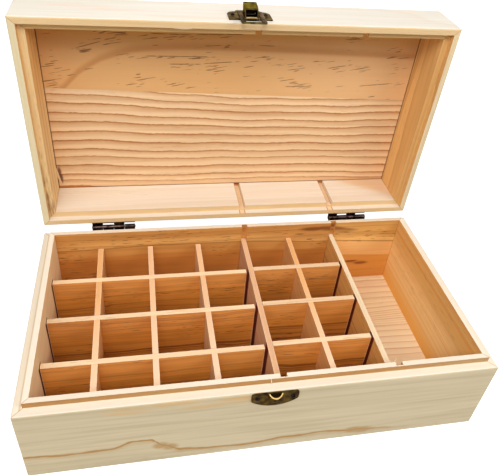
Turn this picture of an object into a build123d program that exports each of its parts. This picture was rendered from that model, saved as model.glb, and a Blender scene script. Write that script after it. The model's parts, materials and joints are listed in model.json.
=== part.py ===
from build123d import *
from math import cos, radians, sin
import os

# Wooden storage box with a hinged lid, lift-out dividers and a draw latch.
# Millimetres, +Z up. The origin is the centre of the base's underside, +X right, -Y the front.
# The lid is drawn open, as it stands on its hinges.

# The case
box_length = 331.0
box_depth = 178.5
base_height = 69.6
lid_height = 43.8
wall = 10.0
panel_thickness = 3.0
panel_seat = 3.6
corner_round = 1.0
outer_edge_round = 3.0
rim_edge_round = 1.4
open_angle = 88.8

# The raised lip of the base and the rebate of the lid that drops over it
lip_height = 4.9
lip_thickness = 3.8
lip_side_gap = 1.1
lip_top_gap = 0.35

# The dividers: long ones run front to back, cross ones left to right
divider_height = 56.0
divider_thickness = 4.2
first_cell = 34.5
column_pitch = 41.8
row_pitch = 40.9
row_offset = -1.5
left_long_count = 3
right_long_count = 1
cross_count = 3
grid_end_gap = 1.4
partition_end_gap = 0.4
left_grid_shift = -1.1
right_grid_shift = 1.1
lap_gap = 0.15
left_grid_wall_gap = 0.6
left_grid_partition_gap = 2.4
right_grid_near_gap = 0.3
right_grid_far_gap = 1.8

# The grooves that hold the two partitions
groove_depth = 3.0
groove_side_gap = 0.35

# The hinges
hinge_inset = 57.8
hinge_length = 36.5
hinge_setback = 4.2
leaf_thickness = 0.9
leaf_height = 15.0
knuckle_radius = 2.0
knuckle_count = 4
knuckle_gap = 0.25
hinge_pin_radius = 0.9
pin_gap = 0.08
pin_overhang = 0.3
leaf_round = 1.5
stop_heel = 1.1
stop_gap = 0.12

# The hinge screws
screw_inset = 6.25
screw_drop = 8.6
screw_radius = 1.1
screw_length = 7.5
screw_head_radius = 2.2
screw_head_height = 1.1
screw_head_round = 0.8
screw_slot_width = 0.6
screw_slot_depth = 0.5
screw_gap = 0.05

# The latch plate on the lid
latch_sheet = 0.8
plate_width = 32.0
plate_bottom = 5.2
plate_ear_height = 15.8
plate_hump_height = 19.0
plate_hump_width = 19.0
ear_round = 5.0
nail_spread = 24.6
plate_nail_height = 13.9
nail_radius = 0.6
nail_length = 7.0
nail_head_radius = 1.4
nail_head_height = 0.8
nail_head_round = 0.65
nail_gap = 0.05

# The lever and its pin
lever_pin_v = 4.0
lever_pin_w = 1.6
lever_pin_radius = 0.6
lever_width = 10.0
lever_eye_radius = 1.4
lever_front_v = 7.0
lever_front_w = 7.9
lever_tip_v = 16.0
lever_tip_w = 9.8
lever_foot_w = 1.3
lever_foot_v = 13.2
latch_knuckle_radius = 1.3
latch_gap = 0.3

# The loop that the lever draws
loop_side_gap = 0.9
loop_pivot_v = 11.6
loop_pivot_w = 3.0
loop_stub_radius = 0.6
loop_sheet = 1.2
loop_leg = 3.2
loop_bar = 1.2
loop_tail = 1.8
loop_round = 1.2

# The catch on the base
catch_width = 32.6
catch_top = 0.5
catch_wing_height = 8.2
catch_drop = 14.8
catch_nail_drop = 5.9
cup_width = 10.2
cup_proud = 4.3
cup_top = 1.0
cup_front_top = 3.4
cup_bottom = 7.6
cup_round = 1.8

# Sizes that follow
inner_length = box_length - 2 * wall
inner_depth = box_depth - 2 * wall
ledge = wall - lip_thickness
lid_rim = ledge - lip_side_gap
divider_middle = panel_thickness + divider_height / 2
front_face = -box_depth / 2
back_face = box_depth / 2
hinge_x = box_length / 2 - hinge_inset
first_divider_x = -inner_length / 2 + first_cell + divider_thickness / 2
left_long_x = [first_divider_x + i * column_pitch for i in range(left_long_count)]
centre_x = first_divider_x + left_long_count * column_pitch
right_long_x = [centre_x + (i + 1) * column_pitch for i in range(right_long_count)]
end_x = centre_x + (right_long_count + 1) * column_pitch
cross_y = [row_offset + row_pitch * (i - (cross_count - 1) / 2) for i in range(cross_count)]
hinge_axis_y = back_face + hinge_setback
loop_inner = lever_width / 2 + loop_side_gap
loop_outer = loop_inner + loop_leg
loop_end_v = -(cup_bottom + latch_gap + loop_bar)

# The lid's directions as it stands open: across its height, and out of its front
turn = radians(open_angle)
lid_up = Vector(0, sin(turn), cos(turn))
lid_out = Vector(0, -cos(turn), sin(turn))


def on_lid(y, z):
    """The place in the open lid of a point of the closed lid, in the plane across the hinge axis."""
    away = Vector(0, hinge_axis_y, base_height)
    return away + lid_up * (z - base_height) - lid_out * (y - hinge_axis_y)


# Planes: z = 0 on a half's closed face, and v = 0 on the parting line of the fronts
base_frame = Plane(origin=(0, 0, 0), x_dir=(1, 0, 0), z_dir=(0, 0, 1))
lid_frame = Plane(origin=on_lid(0, base_height + lid_height), x_dir=(1, 0, 0), z_dir=-lid_up)
base_front = Plane(origin=(0, front_face, base_height), x_dir=(1, 0, 0), z_dir=(0, -1, 0))
lid_front = Plane(origin=on_lid(front_face, base_height), x_dir=(1, 0, 0), z_dir=lid_out)
base_back = Plane(origin=(0, back_face, base_height), x_dir=(-1, 0, 0), z_dir=(0, 1, 0))
lid_back = Plane(origin=on_lid(back_face, base_height), x_dir=(-1, 0, 0), z_dir=-lid_out)
latch_side = Plane(origin=lid_front.origin, x_dir=lid_up, z_dir=(1, 0, 0))


def finish(piece, label):
    """Names a piece and writes it to its file."""
    piece.part.label = label
    export_step(piece.part, f"parts/{label}.step")


def mitred_side(side):
    """The outline that keeps one board of a frame: a trapezium with its ends cut at 45 degrees."""
    half_x, half_y = box_length / 2, box_depth / 2
    depth = 2 * wall
    corners = {
        "near": [(-half_x, -half_y), (half_x, -half_y)],
        "right": [(half_x, -half_y), (half_x, half_y)],
        "far": [(half_x, half_y), (-half_x, half_y)],
        "left": [(-half_x, half_y), (-half_x, -half_y)],
    }[side]
    inner = [(x - depth * (1 if x > 0 else -1), y - depth * (1 if y > 0 else -1)) for x, y in corners]
    return corners + inner[::-1]


def case_frame(board, frame, rim_height, top_height):
    """Adds the four walls of one half of the case, from its closed face up to its rim, in one ring."""
    upright = Axis(frame.origin, frame.z_dir)
    with BuildSketch(frame) as outside:
        Rectangle(box_length, box_depth)
    block = extrude(outside.sketch, amount=rim_height)
    fillet(block.edges().filter_by(upright), corner_round)
    fillet(board.faces().sort_by(upright)[0].edges(), outer_edge_round)
    fillet(board.faces().sort_by(upright)[-1].edges(), rim_edge_round)
    if top_height > rim_height:
        with BuildSketch(frame.offset(rim_height - wall)) as lip:
            Rectangle(box_length - 2 * ledge, box_depth - 2 * ledge)
        extrude(lip.sketch, amount=top_height - rim_height + wall)
    with BuildSketch(frame) as inside:
        Rectangle(inner_length, inner_depth)
    extrude(inside.sketch, amount=top_height, mode=Mode.SUBTRACT)
    with BuildSketch(frame) as seat:
        Rectangle(inner_length + 2 * panel_seat, inner_depth + 2 * panel_seat)
    extrude(seat.sketch, amount=panel_thickness, mode=Mode.SUBTRACT)


def partition_grooves(frame, top_height):
    """Cuts the upright grooves for the two partitions into the long walls, open at the top."""
    with BuildSketch(frame.offset(panel_thickness)) as grooves:
        with Locations((centre_x, 0), (end_x, 0)):
            Rectangle(divider_thickness + 2 * groove_side_gap, inner_depth + 2 * groove_depth)
    extrude(grooves.sketch, amount=top_height - panel_thickness, mode=Mode.SUBTRACT)


def pin_holes(face, places, radius, depth):
    """Drills a hole for each nail or screw into a board."""
    with BuildSketch(face) as holes:
        with Locations(*places):
            Circle(radius)
    extrude(holes.sketch, amount=-depth, mode=Mode.SUBTRACT)


# Where the nails and screws go, on the plane of each face
catch_nail_places = [(-nail_spread / 2, -catch_nail_drop), (nail_spread / 2, -catch_nail_drop)]
plate_nail_places = [(-nail_spread / 2, plate_nail_height), (nail_spread / 2, plate_nail_height)]
screw_reach = hinge_length / 2 - screw_inset
screw_x = [sign * hinge_x + side * screw_reach for sign in (-1, 1) for side in (-1, 1)]
base_screw_places = [(x, -screw_drop) for x in screw_x]
lid_screw_places = [(x, screw_drop) for x in screw_x]


def base_board(label, side, holes=None):
    """One board of the base, with the raised lip along its top."""
    with BuildPart() as board:
        case_frame(board, base_frame, base_height, base_height + lip_height)
        partition_grooves(base_frame, base_height + lip_height)
        if holes:
            pin_holes(*holes)
        with BuildSketch(base_frame):
            Polygon(*mitred_side(side), align=None)
        extrude(amount=base_height + lip_height, mode=Mode.INTERSECT)
    finish(board, label)


def lid_board(label, side, holes=None):
    """One board of the lid, with the rebate that drops over the lip."""
    with BuildPart() as board:
        case_frame(board, lid_frame, lid_height, lid_height)
        partition_grooves(lid_frame, lid_height)
        with BuildSketch(lid_frame.offset(lid_height)):
            Rectangle(box_length - 2 * lid_rim, box_depth - 2 * lid_rim)
        extrude(amount=-(lip_height + lip_top_gap), mode=Mode.SUBTRACT)
        if holes:
            pin_holes(*holes)
        with BuildSketch(lid_frame):
            Polygon(*mitred_side(side), align=None)
        extrude(amount=lid_height, mode=Mode.INTERSECT)
    finish(board, label)


os.makedirs("parts", exist_ok=True)

# Base and lid boards. The lid's plane looks down, so its front is the far side.
catch_holes = (base_front, catch_nail_places, nail_radius + nail_gap, nail_length)
plate_holes = (lid_front, plate_nail_places, nail_radius + nail_gap, nail_length)
base_screw_holes = (base_back, base_screw_places, screw_radius + screw_gap, screw_length)
lid_screw_holes = (lid_back, lid_screw_places, screw_radius + screw_gap, screw_length)
base_board("base_front_board", "near", catch_holes)
base_board("base_back_board", "far", base_screw_holes)
base_board("base_left_board", "left")
base_board("base_right_board", "right")
lid_board("lid_front_board", "far", plate_holes)
lid_board("lid_back_board", "near", lid_screw_holes)
lid_board("lid_left_board", "left")
lid_board("lid_right_board", "right")


def closing_panel(label, frame):
    """A thin panel set into the boards of one half, flush with the outside."""
    with BuildPart() as panel:
        with BuildSketch(frame):
            Rectangle(inner_length + 2 * panel_seat, inner_depth + 2 * panel_seat)
        extrude(amount=panel_thickness)
    finish(panel, label)


closing_panel("base_bottom_panel", base_frame)
closing_panel("lid_top_panel", lid_frame)


def lap_cuts(plane, places, edge):
    """Cuts a half-height slot at each place along a divider, in from its top or bottom edge."""
    slot_width = divider_thickness + 2 * lap_gap
    slot_height = divider_height / 2 + lap_gap
    inward = Align.MIN if edge < 0 else Align.MAX
    with BuildSketch(plane) as slots:
        with Locations(*[(along, edge) for along in places]):
            Rectangle(slot_width, slot_height, align=(Align.CENTER, inward))
    extrude(slots.sketch, amount=divider_thickness, both=True, mode=Mode.SUBTRACT)


def long_divider(label, x, y, length, laps):
    """A board from front to back, with its lap slots in the top edge. x, y is its middle."""
    plane = Plane(origin=(x, y, divider_middle), x_dir=(0, 1, 0), z_dir=(1, 0, 0))
    with BuildPart() as divider:
        with BuildSketch(plane):
            Rectangle(length, divider_height)
        extrude(amount=divider_thickness / 2, both=True)
        if laps:
            lap_cuts(plane, laps, divider_height / 2)
    finish(divider, label)


def cross_divider(label, y, left, right, laps):
    """A board from left to right, with its lap slots in the bottom edge."""
    middle = (left + right) / 2
    plane = Plane(origin=(middle, y, divider_middle), x_dir=(1, 0, 0), z_dir=(0, -1, 0))
    with BuildPart() as divider:
        with BuildSketch(plane):
            Rectangle(right - left, divider_height)
        extrude(amount=divider_thickness / 2, both=True)
        lap_cuts(plane, [x - middle for x in laps], -divider_height / 2)
    finish(divider, label)


# The two grids, half lapped with their tops flush, and the two partitions in their grooves.
# The grids lie loose: the left one is pushed to the front and the right one to the back.
grid_length = inner_depth - 2 * grid_end_gap
partition_length = inner_depth + 2 * (groove_depth - partition_end_gap)
half_divider = divider_thickness / 2
left_cross_start = -inner_length / 2 + left_grid_wall_gap
left_cross_end = centre_x - half_divider - left_grid_partition_gap
right_cross_start = centre_x + half_divider + right_grid_near_gap
right_cross_end = end_x - half_divider - right_grid_far_gap

for number, x in enumerate(left_long_x, 1):
    long_divider(f"left_long_divider_{number}", x, left_grid_shift, grid_length, cross_y)
for number, x in enumerate(right_long_x, 1):
    long_divider(f"right_long_divider_{number}", x, right_grid_shift, grid_length, cross_y)
for number, y in enumerate(cross_y, 1):
    left_y, right_y = y + left_grid_shift, y + right_grid_shift
    cross_divider(f"left_cross_divider_{number}", left_y, left_cross_start, left_cross_end, left_long_x)
    cross_divider(f"right_cross_divider_{number}", right_y, right_cross_start, right_cross_end, right_long_x)
long_divider("centre_partition", centre_x, 0, partition_length, None)
long_divider("end_partition", end_x, 0, partition_length, None)


# Hinges. Each leaf lies on a back, turns out to the axis and is rolled round the pin.
knuckle_pitch = hinge_length / knuckle_count
heel_reach = hinge_setback - leaf_thickness - stop_gap
heel_length = heel_reach - knuckle_radius / 2
web_near = knuckle_radius - leaf_thickness


def hinge_leaf(label, hinge_centre, up, knuckles, screw_places):
    """A leaf. up is +1 for the lid's and -1 for the base's; knuckles are its places along the pin.
    The lid's knuckles have a heel that meets the base leaf when the lid is open, and holds it there."""
    away = Vector(0, cos(turn), -sin(turn)) if up > 0 else Vector(0, 1, 0)
    start = hinge_centre - hinge_length / 2
    section = Plane(origin=(start, hinge_axis_y, base_height), x_dir=away, z_dir=(1, 0, 0))
    upright_section = Plane(origin=section.origin, x_dir=(0, 1, 0), z_dir=(1, 0, 0))
    face = lid_back if up > 0 else base_back
    grows = Align.MIN if up > 0 else Align.MAX
    with BuildPart() as leaf:
        with BuildSketch(section):
            with Locations((-hinge_setback, up * web_near)):
                Rectangle(leaf_thickness, leaf_height, align=(Align.MIN, grows))
        plate = extrude(amount=hinge_length)
        across = plate.edges().filter_by(Axis(section.origin, away))
        fillet(across.group_by(Axis(section.origin, face.y_dir * up))[-1], leaf_round)
        for place in knuckles:
            rolled = section.offset(place * knuckle_pitch + knuckle_gap / 2)
            with BuildSketch(rolled):
                Circle(knuckle_radius)
                with Locations((-hinge_setback, up * web_near)):
                    Rectangle(hinge_setback, leaf_thickness, align=(Align.MIN, grows))
                Circle(hinge_pin_radius + pin_gap, mode=Mode.SUBTRACT)
            extrude(amount=knuckle_pitch - knuckle_gap)
            if up > 0:
                with BuildSketch(upright_section.offset(place * knuckle_pitch + knuckle_gap / 2)):
                    with Locations((-heel_reach, -web_near - stop_gap)):
                        Rectangle(heel_length, stop_heel, align=(Align.MIN, Align.MAX))
                extrude(amount=knuckle_pitch - knuckle_gap)
        with BuildSketch(face):
            with Locations(*[p for p in screw_places if abs(p[0] + hinge_centre) < hinge_length]):
                Circle(screw_radius + screw_gap)
        extrude(amount=leaf_thickness, mode=Mode.SUBTRACT)
    finish(leaf, label)


for side, centre in (("left", -hinge_x), ("right", hinge_x)):
    hinge_leaf(f"{side}_hinge_lid_leaf", centre, 1, range(0, knuckle_count, 2), lid_screw_places)
    hinge_leaf(f"{side}_hinge_base_leaf", centre, -1, range(1, knuckle_count, 2), base_screw_places)
    pin_end_x = centre - hinge_length / 2 - pin_overhang
    with BuildPart() as hinge_pin:
        with BuildSketch(Plane(origin=(pin_end_x, hinge_axis_y, base_height), z_dir=(1, 0, 0))):
            Circle(hinge_pin_radius)
        extrude(amount=hinge_length + 2 * pin_overhang)
    finish(hinge_pin, f"{side}_hinge_pin")


def hinge_screws(label, face, places):
    """Slotted round-head screws through a leaf into the board."""
    with BuildPart() as screws:
        with BuildSketch(face.offset(leaf_thickness)):
            with Locations(*places):
                Circle(screw_radius)
        extrude(amount=-screw_length)
        with BuildSketch(face.offset(leaf_thickness)):
            with Locations(*places):
                Circle(screw_head_radius)
        extrude(amount=screw_head_height)
        fillet(screws.edges().group_by(Axis(face.origin, face.z_dir))[-1], screw_head_round)
        with BuildSketch(face.offset(leaf_thickness + screw_head_height)):
            with Locations(*places):
                Rectangle(2 * screw_head_radius, screw_slot_width)
        extrude(amount=-screw_slot_depth, mode=Mode.SUBTRACT)
    finish(screws, label)


hinge_screws("hinge_base_screws", base_back, base_screw_places)
hinge_screws("hinge_lid_screws", lid_back, lid_screw_places)


# Latch plate: two ears for nails, and a tab rolled round the lever's pin
knuckle_half = lever_width / 2 - latch_sheet - latch_gap
with BuildPart() as latch_plate:
    with BuildSketch(lid_front):
        with Locations((0, plate_bottom)):
            Rectangle(plate_width, plate_ear_height, align=(Align.CENTER, Align.MIN))
            Rectangle(plate_hump_width, plate_hump_height, align=(Align.CENTER, Align.MIN))
    extrude(amount=latch_sheet)
    through = latch_plate.edges().filter_by(Axis(lid_front.origin, lid_front.z_dir))
    hump_corners = through.group_by(Axis(lid_front.origin, lid_front.y_dir))[-1]
    ears = through.group_by(Axis.X)[0] + through.group_by(Axis.X)[-1]
    ear_corners = ears.group_by(Axis(lid_front.origin, lid_front.y_dir))[-1]
    fillet(ear_corners, ear_round)
    fillet(hump_corners, ear_round / 2)
    with BuildSketch(lid_front):
        with Locations((0, lever_pin_v)):
            Rectangle(2 * knuckle_half, plate_bottom - lever_pin_v, align=(Align.CENTER, Align.MIN))
    extrude(amount=latch_sheet)
    with BuildSketch(latch_side.offset(-knuckle_half)):
        with Locations((lever_pin_v, lever_pin_w)):
            Circle(latch_knuckle_radius)
    extrude(amount=2 * knuckle_half)
    with BuildSketch(latch_side.offset(-knuckle_half)):
        with Locations((lever_pin_v, lever_pin_w)):
            Circle(lever_pin_radius + pin_gap)
    extrude(amount=2 * knuckle_half, mode=Mode.SUBTRACT)
    pin_holes(lid_front.offset(latch_sheet), plate_nail_places, nail_radius + nail_gap, latch_sheet)
finish(latch_plate, "latch_plate")

with BuildPart() as latch_lever_pin:
    with BuildSketch(latch_side.offset(-lever_width / 2 - latch_gap)):
        with Locations((lever_pin_v, lever_pin_w)):
            Circle(lever_pin_radius)
    extrude(amount=lever_width + 2 * latch_gap)
finish(latch_lever_pin, "latch_lever_pin")

# Lever: a folded channel, open below, its back raised to a finger tip
with BuildPart() as latch_lever:
    with BuildSketch(latch_side):
        with BuildLine():
            Polyline(
                (lever_pin_v - lever_eye_radius, lever_pin_w),
                (lever_front_v, lever_front_w),
                (lever_tip_v, lever_tip_w),
                (lever_tip_v - latch_sheet, lever_tip_w - 2 * latch_sheet),
                (lever_foot_v, lever_foot_w),
                (lever_pin_v, lever_foot_w),
                close=True,
            )
        make_face()
        with Locations((lever_pin_v, lever_pin_w)):
            Circle(lever_eye_radius)
    extrude(amount=lever_width / 2, both=True)
    with BuildSketch(latch_side):
        with BuildLine():
            Polyline(
                (lever_pin_v - 2 * lever_eye_radius, lever_pin_w - 2 * lever_eye_radius),
                (lever_pin_v - 2 * lever_eye_radius, lever_front_w - latch_sheet),
                (lever_front_v, lever_front_w - latch_sheet),
                (lever_tip_v + latch_sheet, lever_tip_w - latch_sheet),
                (lever_tip_v + latch_sheet, lever_pin_w - 2 * lever_eye_radius),
                close=True,
            )
        make_face()
    extrude(amount=lever_width / 2 - latch_sheet, both=True, mode=Mode.SUBTRACT)
    for v, w, radius in (
        (lever_pin_v, lever_pin_w, lever_pin_radius + pin_gap),
        (loop_pivot_v, loop_pivot_w, loop_stub_radius + pin_gap),
    ):
        with BuildSketch(latch_side):
            with Locations((v, w)):
                Circle(radius)
        extrude(amount=lever_width, both=True, mode=Mode.SUBTRACT)
finish(latch_lever, "latch_lever")

# Loop: two legs past the lever, a cross bar that draws up under the cup, and two stubs in the lever
loop_plane = lid_front.offset(loop_pivot_w - loop_sheet / 2)
loop_length = loop_pivot_v + loop_tail - loop_end_v
stub_inner = lever_width / 2 - 2 * latch_sheet
stub_outer = loop_inner + loop_leg / 2
with BuildPart() as latch_loop:
    with BuildSketch(loop_plane):
        with Locations((0, loop_end_v)):
            Rectangle(2 * loop_outer, loop_length, align=(Align.CENTER, Align.MIN))
        with Locations((0, loop_end_v + loop_bar)):
            Rectangle(2 * loop_inner, loop_length, align=(Align.CENTER, Align.MIN), mode=Mode.SUBTRACT)
    extrude(amount=loop_sheet)
    through = latch_loop.edges().filter_by(Axis(loop_plane.origin, loop_plane.z_dir))
    fillet(through.group_by(Axis(loop_plane.origin, loop_plane.y_dir))[0], loop_round)
    for sign in (-1, 1):
        with BuildSketch(latch_side.offset(sign * stub_inner)):
            with Locations((loop_pivot_v, loop_pivot_w)):
                Circle(loop_stub_radius)
        extrude(amount=sign * (stub_outer - stub_inner))
finish(latch_loop, "latch_loop")

# Catch: a crescent plate with a pocket on its face, open at the top and closed behind by the plate
wing = catch_width / 2
wing_foot = -catch_top - catch_wing_height
cup_section = Plane(base_front.origin - Vector(0, 0, cup_bottom))
with BuildPart() as latch_catch:
    with BuildSketch(base_front):
        with BuildLine():
            Polyline((-wing, wing_foot), (-wing, -catch_top), (wing, -catch_top), (wing, wing_foot))
            ThreePointArc((wing, wing_foot), (0, -catch_drop), (-wing, wing_foot))
        make_face()
        fillet(vertices(), ear_round / 2)
    extrude(amount=latch_sheet)
    with BuildSketch(cup_section):
        Ellipse(cup_width / 2, cup_proud)
        Rectangle(cup_width, cup_width, align=(Align.CENTER, Align.MIN), mode=Mode.SUBTRACT)
    extrude(amount=cup_bottom - cup_top)
    fillet(latch_catch.edges().filter_by(GeomType.ELLIPSE).sort_by(Axis.Z)[0], cup_round)
    with BuildSketch(cup_section.offset(latch_sheet)):
        Ellipse(cup_width / 2 - latch_sheet, cup_proud - latch_sheet)
        with Locations((0, -latch_sheet)):
            Rectangle(cup_width, cup_width, align=(Align.CENTER, Align.MIN), mode=Mode.SUBTRACT)
    extrude(amount=cup_bottom, mode=Mode.SUBTRACT)
    with BuildSketch(Plane(origin=base_front.origin, x_dir=(0, -1, 0), z_dir=(-1, 0, 0))):
        with BuildLine():
            Polyline(
                (latch_sheet, -cup_top),
                (cup_proud, -cup_front_top),
                (2 * cup_proud, -cup_front_top),
                (2 * cup_proud, 0),
                (latch_sheet, 0),
                close=True,
            )
        make_face()
    extrude(amount=cup_width, both=True, mode=Mode.SUBTRACT)
    pin_holes(base_front.offset(latch_sheet), catch_nail_places, nail_radius + nail_gap, latch_sheet)
finish(latch_catch, "latch_catch")


def nails(label, face, places):
    """Round-head nails through a latch plate into the board."""
    with BuildPart() as pair:
        with BuildSketch(face.offset(latch_sheet)):
            with Locations(*places):
                Circle(nail_radius)
        extrude(amount=-nail_length)
        with BuildSketch(face.offset(latch_sheet)):
            with Locations(*places):
                Circle(nail_head_radius)
        extrude(amount=nail_head_height)
        fillet(pair.edges().group_by(Axis(face.origin, face.z_dir))[-1], nail_head_round)
    finish(pair, label)


nails("catch_nails", base_front, catch_nail_places)
nails("latch_plate_nails", lid_front, plate_nail_places)
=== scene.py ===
import json
from math import cos, radians, sin

import bpy
import numpy as np
from mathutils import Matrix, Vector


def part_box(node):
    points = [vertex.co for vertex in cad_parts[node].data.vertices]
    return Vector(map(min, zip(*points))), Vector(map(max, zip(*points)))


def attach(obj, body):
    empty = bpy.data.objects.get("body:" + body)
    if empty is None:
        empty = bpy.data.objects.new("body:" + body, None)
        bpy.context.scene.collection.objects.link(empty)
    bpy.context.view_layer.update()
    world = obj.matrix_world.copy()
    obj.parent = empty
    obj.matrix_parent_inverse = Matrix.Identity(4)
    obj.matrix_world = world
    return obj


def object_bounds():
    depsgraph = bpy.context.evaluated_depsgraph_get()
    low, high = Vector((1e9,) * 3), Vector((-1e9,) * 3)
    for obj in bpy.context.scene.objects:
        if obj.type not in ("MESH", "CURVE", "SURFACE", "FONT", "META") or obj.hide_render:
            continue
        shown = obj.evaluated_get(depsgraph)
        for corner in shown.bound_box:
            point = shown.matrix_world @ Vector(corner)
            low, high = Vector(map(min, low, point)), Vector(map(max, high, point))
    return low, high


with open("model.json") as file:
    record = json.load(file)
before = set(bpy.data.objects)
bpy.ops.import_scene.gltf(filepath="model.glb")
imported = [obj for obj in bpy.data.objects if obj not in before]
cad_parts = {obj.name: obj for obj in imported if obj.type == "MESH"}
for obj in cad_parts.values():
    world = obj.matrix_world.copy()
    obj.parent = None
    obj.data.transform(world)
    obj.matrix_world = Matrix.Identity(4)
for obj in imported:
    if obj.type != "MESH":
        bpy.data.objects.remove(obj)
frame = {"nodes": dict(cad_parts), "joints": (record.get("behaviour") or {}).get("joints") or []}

# Wooden storage box with its lid open: bare pine boards, sawn dividers, small antique bronze fittings.
# Metres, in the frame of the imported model: +X right, -Y the front, +Z up.

cad_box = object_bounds()
nodes = frame["nodes"]
joints = {joint["name"]: joint for joint in frame["joints"]}

right_x = Vector((1, 0, 0))
back_y = Vector((0, 1, 0))
up_z = Vector((0, 0, 1))
front_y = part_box("base_front_board")[0].y

# The lid as it stands open: lid_out leads away from the hinges, lid_up from its rim to its top panel, and
# lid_face is where its front face meets its rim
hinge_place = Vector(joints["lid_hinge"]["pos_m"])
open_angle = radians(88.8)
lid_up = Vector((0, sin(open_angle), cos(open_angle)))
lid_out = Vector((0, -cos(open_angle), sin(open_angle)))
lid_face = hinge_place + lid_out * (hinge_place.y - front_y)


def in_base(x, y, z):
    """A place in the base, from millimetres."""
    return Vector((x / 1000, y / 1000, z / 1000))


def in_lid(x, out, up):
    """A place in the lid, from millimetres right, away from the hinges and up from its rim."""
    return hinge_place + right_x * (x / 1000) + lid_out * (out / 1000) + lid_up * (up / 1000)


def srgb(red, green, blue):
    """A colour given as it looks on a screen, from 0 to 255, as the linear values that a shader takes."""
    screen = np.array((red, green, blue)) / 255
    linear = np.where(screen <= 0.04045, screen / 12.92, ((screen + 0.055) / 1.055) ** 2.4)
    return (*linear, 1.0)


def in_scene(name, data):
    """A new object in the scene."""
    made = bpy.data.objects.new(name, data)
    bpy.context.scene.collection.objects.link(made)
    return made


# Small helpers for node trees

def feed(tree, socket, value):
    """A socket joined to another node's output, or set to a value."""
    if isinstance(value, bpy.types.NodeSocket):
        tree.links.new(value, socket)
    else:
        socket.default_value = value


def node(tree, kind, inputs=None, **settings):
    """A node with its settings and its sockets fed."""
    made = tree.nodes.new("ShaderNode" + kind)
    for name, value in settings.items():
        setattr(made, name, value)
    for name, value in (inputs or {}).items():
        feed(tree, made.inputs[name], value)
    return made


def math(tree, operation, *values, clamp=False):
    """The result of one sum."""
    made = node(tree, "Math", dict(enumerate(values)), operation=operation, use_clamp=clamp)
    return made.outputs[0]


def less(tree, value, other):
    """A value less another."""
    return math(tree, "SUBTRACT", value, other)


def apart(tree, value, place):
    """How far a value is from a place, to either side."""
    return math(tree, "ABSOLUTE", less(tree, value, place))


def sloped(tree, value, slope, start):
    """A straight line: the value times its slope, from a start."""
    return math(tree, "MULTIPLY_ADD", value, slope, start)


def times(tree, product, *others):
    """Values multiplied together."""
    for other in others:
        product = math(tree, "MULTIPLY", product, other)
    return product


def strongest(tree, values):
    """The greatest of several values."""
    best, *others = values
    for other in others:
        best = math(tree, "MAXIMUM", best, other)
    return best


def rest_of(tree, value):
    """What a value leaves of 1."""
    return less(tree, 1.0, value)


def vector_math(tree, operation, first, second):
    """Two vectors taken together, direction by direction."""
    return node(tree, "VectorMath", {0: first, 1: second}, operation=operation).outputs[0]


def parts(tree, vector):
    """A vector's three values."""
    return node(tree, "SeparateXYZ", {0: vector}).outputs


def noise(tree, vector, scale, detail):
    """Soft noise from 0 to 1. The scale is one number, or a stretch for each direction."""
    if isinstance(scale, tuple):
        vector, scale = vector_math(tree, "MULTIPLY", vector, scale), 1.0
    made = node(tree, "TexNoise", {"Vector": vector, "Scale": scale, "Detail": detail, "Roughness": 0.5})
    return made.outputs["Fac"]


def sway(tree, vector, scale, detail):
    """Soft noise about 0."""
    return less(tree, noise(tree, vector, scale, detail), 0.5)


def ramp(tree, value, stops, interpolation="LINEAR"):
    """A value passed through a curve given as (place, height) stops."""
    made = node(tree, "ValToRGB", {"Fac": value})
    made.color_ramp.interpolation = interpolation
    elements = made.color_ramp.elements
    while len(elements) < len(stops):
        elements.new(0.5)
    for element, (place, height) in zip(elements, stops):
        element.position = place
        element.color = (height, height, height, 1)
    return made.outputs["Color"]


def curve(tree, value, reach, high, points, interpolation="EASE"):
    """A smooth curve through (place, height) points in metres, from -reach to reach and from 0 to high."""
    placed = node(tree, "MapRange", {"Value": value, "From Min": -reach, "From Max": reach}).outputs["Result"]
    stops = [((place + reach) / (2 * reach), height / high) for place, height in points]
    return times(tree, ramp(tree, placed, stops, interpolation), high)


def rise(tree, value, start, end):
    """0 at start and 1 at end, smooth between them."""
    made = node(tree, "MapRange", {"Value": value, "From Min": start, "From Max": end},
                interpolation_type="SMOOTHSTEP")
    return made.outputs["Result"]


def near(tree, value, place, half, soft):
    """1 within half of a place, falling to 0 over the soft distance beyond it."""
    return rise(tree, apart(tree, value, place), half + soft, half)


def mix(tree, factor, first, second, blend="MIX"):
    """Two colours mixed: the first at 0, the second at 1."""
    made = node(tree, "Mix", data_type="RGBA", blend_type=blend, clamp_factor=True)
    for place, value in ((0, factor), (6, first), (7, second)):
        feed(tree, made.inputs[place], value)
    return made.outputs[2]


def shade(tree, colour, amount):
    """A colour multiplied by a value or by another colour."""
    return mix(tree, 1.0, colour, amount, "MULTIPLY")


def stain(tree, colour, tone, *masks):
    """A colour with a screen tone laid over it, as far as the masks let it."""
    return mix(tree, times(tree, *masks), colour, srgb(*tone))


def tinge(tree, colour, tone, *masks):
    """A colour multiplied by a screen tone, as far as the masks let it."""
    return mix(tree, times(tree, *masks), colour, shade(tree, colour, srgb(*tone)))


def facing(tree, direction):
    """1 where the surface faces a direction of the resting model, 0 where it stands square to it."""
    normal = node(tree, "TexCoord").outputs["Normal"]
    along = node(tree, "VectorMath", {0: normal, 1: direction}, operation="DOT_PRODUCT")
    return rise(tree, along.outputs["Value"], 0.55, 0.85)


def laid_out(tree, coordinates, origin, grain, across):
    """Board coordinates: x along the grain, y across the face, z through the thickness, from an origin."""
    turn = Matrix((grain, across, grain.cross(across))).transposed().to_euler()
    inputs = {"Vector": coordinates, "Location": origin, "Rotation": turn}
    return node(tree, "Mapping", inputs, vector_type="TEXTURE").outputs[0]


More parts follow.
